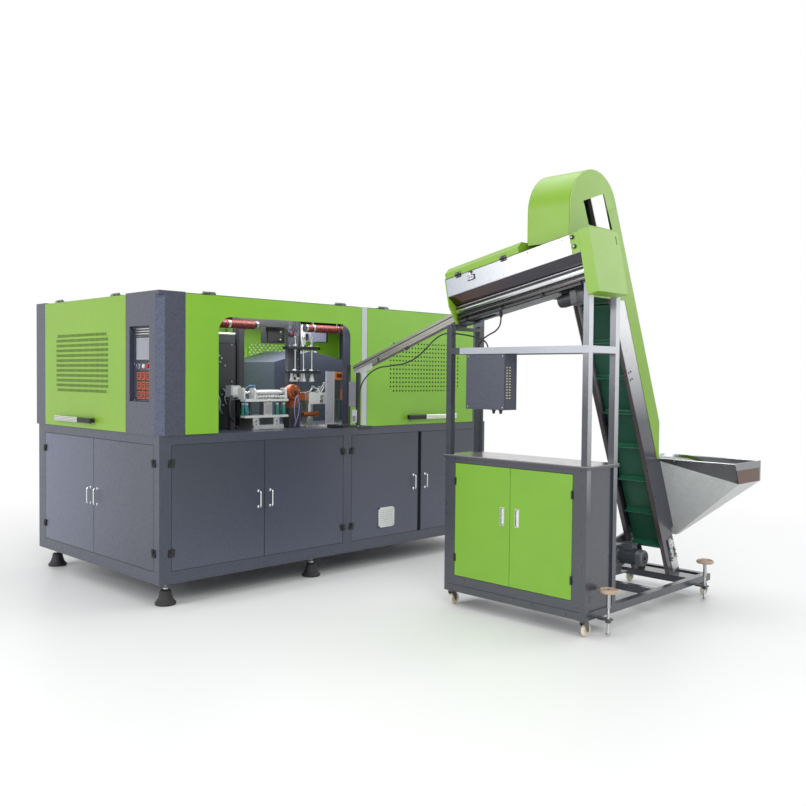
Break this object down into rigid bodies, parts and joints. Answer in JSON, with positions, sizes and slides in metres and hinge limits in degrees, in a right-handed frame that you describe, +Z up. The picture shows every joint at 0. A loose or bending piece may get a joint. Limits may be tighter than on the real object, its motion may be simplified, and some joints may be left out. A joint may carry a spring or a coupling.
{
  "type": "blow moulding machine",
  "caption": "Linear machine that stretch-blows bottles behind lift-up doors, fed with preforms by a hopper, a leaning belt elevator, a roller sorter and a sloping chute.",
  "frame": {"origin": "middle of the footprint of machine and feeder together, on the floor", "axes": "+X along the machine's front towards its oven end, +Y from the feeder through the machine to its back, +Z up"},
  "size_m": [3.235, 4.344, 2.71],
  "materials": {
    "alu": "natural anodised profile",
    "beige_plastic": "beige moulded plastic, satin",
    "belt": "dark green smooth belt",
    "black": "black, satin",
    "black_plastic": "black, satin",
    "bright": "stainless sheet, polished bright",
    "cable": "black cable jacket, matt",
    "cream_wheel": "cream nylon, satin",
    "dark_case": "dark grey paint",
    "foot_rubber": "black rubber, matt",
    "galvanised": "zinc plated, dull",
    "green": "bright yellow-green powder coat, satin",
    "grey": "slate grey hammer-texture paint, half gloss",
    "hose": "red corrugated hose, matt",
    "machined": "machined and painted machine parts",
    "motor_grey": "grey motor paint",
    "pale_metal": "machined aluminium, satin",
    "red_plastic": "signal red, glossy",
    "roller_steel": "ground steel, fine brushed",
    "screw_steel": "turned steel",
    "silver": "pale silver-grey paint, satin",
    "stainless": "stainless sheet, fine brushed",
    "white_plastic": "white, glossy"
  },
  "bodies": {
    "base_door_front_1": {"base_door_front_1": "grey"},
    "base_door_front_2": {"base_door_front_2": "grey"},
    "base_door_front_3": {"base_door_front_3": "grey"},
    "base_door_front_4": {"base_door_front_4": "grey"},
    "base_door_end_near": {"base_door_end_near": "grey"},
    "base_door_end_far": {"base_door_end_far": "grey"},
    "cabinet_door_near": {"cabinet_door_near": "green"},
    "cabinet_door_far": {"cabinet_door_far": "green"},
    "window_door": {"window_door": "green"},
    "vent_door": {"vent_door": "green"},
    "end_door": {"end_door": "green"},
    "mode_selector": {"mode_selector": "black_plastic"},
    "start_button": {"start_button": "white_plastic"},
    "emergency_stop": {"emergency_stop": "red_plastic"},
    "stretch_carriage": {"stretch_carriage": "machined"},
    "caster_fork_1": {"caster_fork_1": "galvanised"},
    "caster_wheel_1": {"caster_wheel_1": "cream_wheel"},
    "caster_fork_2": {"caster_fork_2": "galvanised"},
    "caster_wheel_2": {"caster_wheel_2": "cream_wheel"},
    "caster_fork_3": {"caster_fork_3": "galvanised"},
    "caster_wheel_3": {"caster_wheel_3": "cream_wheel"},
    "caster_fork_4": {"caster_fork_4": "galvanised"},
    "caster_wheel_4": {"caster_wheel_4": "cream_wheel"},
    "jack_screw_1": {"jack_screw_1": "screw_steel"},
    "handwheel_1": {"handwheel_1": "beige_plastic"},
    "jack_screw_2": {"jack_screw_2": "screw_steel"},
    "handwheel_2": {"handwheel_2": "beige_plastic"},
    "sorter_lid": {"sorter_lid": "green"},
    "sorter_roller_1": {"sorter_roller_1": "roller_steel"},
    "sorter_roller_2": {"sorter_roller_2": "roller_steel"},
    "tail_drum": {"tail_drum": "roller_steel"},
    "head_drum": {"head_drum": "roller_steel"},
    "line": {"air_hose": "hose", "base_frame": "grey", "chute_cable": "cable", "chute_stand": "dark_case", "chute_track": "alu", "clamp_unit": "machined", "control_column": "grey", "control_panel": "grey", "door_hinges": "black", "elevator_belt": "belt", "elevator_cover": "green", "elevator_frame": "grey", "elevator_hood": "green", "enclosure_frame": "grey", "enclosure_panels": "green", "feeder_cabinet": "grey", "feeder_frame": "grey", "gearmotor": "motor_grey", "hopper_bin": "galvanised", "hopper_rim": "bright", "machine_feet": "foot_rubber", "oven_cover": "silver", "roof_sheet": "grey", "sorter_bed": "dark_case", "sorter_cable": "cable", "sorter_ends": "green", "sorter_trough": "stainless", "terminal_box": "grey", "transfer_table": "pale_metal"}
  },
  "joints": [
    {"name": "base_door_front_1_hinge", "type": "hinge", "parent": "line", "child": "base_door_front_1", "pos_m": [-1.4725, 0.3655, 0.6], "axis": [0, 0, -1], "range_deg": [0, 90]},
    {"name": "base_door_front_2_hinge", "type": "hinge", "parent": "line", "child": "base_door_front_2", "pos_m": [-0.0355, 0.3655, 0.6], "axis": [0, 0, 1], "range_deg": [0, 90]},
    {"name": "base_door_front_3_hinge", "type": "hinge", "parent": "line", "child": "base_door_front_3", "pos_m": [0.0495, 0.3655, 0.6], "axis": [0, 0, -1], "range_deg": [0, 90]},
    {"name": "base_door_front_4_hinge", "type": "hinge", "parent": "line", "child": "base_door_front_4", "pos_m": [1.5185, 0.3655, 0.6], "axis": [0, 0, 1], "range_deg": [0, 90]},
    {"name": "base_door_end_near_hinge", "type": "hinge", "parent": "line", "child": "base_door_end_near", "pos_m": [-1.567, 0.44, 0.6], "axis": [0, 0, 1], "range_deg": [0, 90]},
    {"name": "base_door_end_far_hinge", "type": "hinge", "parent": "line", "child": "base_door_end_far", "pos_m": [-1.567, 2.041, 0.6], "axis": [0, 0, -1], "range_deg": [0, 90]},
    {"name": "cabinet_door_near_hinge", "type": "hinge", "parent": "line", "child": "cabinet_door_near", "pos_m": [-0.156, -1.732, 0.56], "axis": [0, 0, 1], "range_deg": [0, 90]},
    {"name": "cabinet_door_far_hinge", "type": "hinge", "parent": "line", "child": "cabinet_door_far", "pos_m": [-0.156, -0.844, 0.56], "axis": [0, 0, -1], "range_deg": [0, 90]},
    {"name": "window_door_hinge", "type": "hinge", "parent": "line", "child": "window_door", "pos_m": [-0.626, 0.391, 2.008], "axis": [-1, 0, 0], "range_deg": [0, 80]},
    {"name": "vent_door_hinge", "type": "hinge", "parent": "line", "child": "vent_door", "pos_m": [0.8085, 0.391, 2.008], "axis": [-1, 0, 0], "range_deg": [0, 80]},
    {"name": "end_door_hinge", "type": "hinge", "parent": "line", "child": "end_door", "pos_m": [-1.5415, 1.399, 2.008], "axis": [0, 1, 0], "range_deg": [0, 80]},
    {"name": "mode_selector_turn", "type": "hinge", "parent": "line", "child": "mode_selector", "pos_m": [-1.5375, 0.671, 1.528], "axis": [1, 0, 0], "range_deg": [-45, 45]},
    {"name": "start_button_press", "type": "slide", "parent": "line", "child": "start_button", "axis": [1, 0, 0], "range_m": [0, 0.003], "stiffness_N_per_m": 800},
    {"name": "emergency_stop_press", "type": "slide", "parent": "line", "child": "emergency_stop", "axis": [1, 0, 0], "range_m": [0, 0.005]},
    {"name": "stretch_stroke", "type": "slide", "parent": "line", "child": "stretch_carriage", "axis": [0, 0, -1], "range_m": [0, 0.12]},
    {"name": "caster_swivel_1", "type": "hinge", "parent": "line", "child": "caster_fork_1", "pos_m": [-0.1105, -1.795, 0.0957], "axis": [0, 0, 1], "continuous": true},
    {"name": "caster_spin_1", "type": "hinge", "parent": "caster_fork_1", "child": "caster_wheel_1", "pos_m": [-0.0885, -1.795, 0.0375], "axis": [0, 1, 0], "continuous": true},
    {"name": "caster_swivel_2", "type": "hinge", "parent": "line", "child": "caster_fork_2", "pos_m": [-0.1105, -0.789, 0.0957], "axis": [0, 0, 1], "continuous": true},
    {"name": "caster_spin_2", "type": "hinge", "parent": "caster_fork_2", "child": "caster_wheel_2", "pos_m": [-0.0885, -0.789, 0.0375], "axis": [0, 1, 0], "continuous": true},
    {"name": "caster_swivel_3", "type": "hinge", "parent": "line", "child": "caster_fork_3", "pos_m": [1.3285, -1.803, 0.0957], "axis": [0, 0, 1], "continuous": true},
    {"name": "caster_spin_3", "type": "hinge", "parent": "caster_fork_3", "child": "caster_wheel_3", "pos_m": [1.3505, -1.803, 0.0375], "axis": [0, 1, 0], "continuous": true},
    {"name": "caster_swivel_4", "type": "hinge", "parent": "line", "child": "caster_fork_4", "pos_m": [1.3285, -1.231, 0.0957], "axis": [0, 0, 1], "continuous": true},
    {"name": "caster_spin_4", "type": "hinge", "parent": "caster_fork_4", "child": "caster_wheel_4", "pos_m": [1.3505, -1.231, 0.0375], "axis": [0, 1, 0], "continuous": true},
    {"name": "jack_travel_1", "type": "slide", "parent": "line", "child": "jack_screw_1", "axis": [0, 0, -1], "range_m": [0, 0.012]},
    {"name": "handwheel_turn_1", "type": "hinge", "parent": "jack_screw_1", "child": "handwheel_1", "pos_m": [0.0005, -1.887, 0.262], "axis": [0, 0, 1], "range_deg": [0, 1440]},
    {"name": "jack_travel_2", "type": "slide", "parent": "line", "child": "jack_screw_2", "axis": [0, 0, -1], "range_m": [0, 0.012]},
    {"name": "handwheel_turn_2", "type": "hinge", "parent": "jack_screw_2", "child": "handwheel_2", "pos_m": [1.1855, -1.887, 0.262], "axis": [0, 0, 1], "range_deg": [0, 1440]},
    {"name": "sorter_lid_hinge", "type": "hinge", "parent": "line", "child": "sorter_lid", "pos_m": [-0.1845, -1.05875, 2.15974], "axis": [0, -0.9803, 0.1977], "range_deg": [0, 110]},
    {"name": "sorter_roller_spin_1", "type": "hinge", "parent": "line", "child": "sorter_roller_1", "pos_m": [-0.0815, -1.30466, 1.98744], "axis": [0, 0.9803, -0.1977], "continuous": true},
    {"name": "sorter_roller_spin_2", "type": "hinge", "parent": "line", "child": "sorter_roller_2", "pos_m": [-0.0135, -1.30466, 1.98744], "axis": [0, 0.9803, -0.1977], "continuous": true},
    {"name": "tail_drum_spin", "type": "hinge", "parent": "line", "child": "tail_drum", "pos_m": [1.14403, -1.512, 0.352], "axis": [0, 1, 0], "continuous": true},
    {"name": "head_drum_spin", "type": "hinge", "parent": "line", "child": "head_drum", "pos_m": [0.22287, -1.512, 2.494], "axis": [0, 1, 0], "continuous": true}
  ],
  "couplings": [
    {"joint": "jack_travel_1", "follows": "handwheel_turn_1", "m_per_rad": 0.00047746},
    {"joint": "jack_travel_2", "follows": "handwheel_turn_2", "m_per_rad": 0.00047746},
    {"joint": "sorter_roller_spin_2", "follows": "sorter_roller_spin_1", "ratio": -1},
    {"joint": "head_drum_spin", "follows": "tail_drum_spin", "ratio": 1}
  ]
}
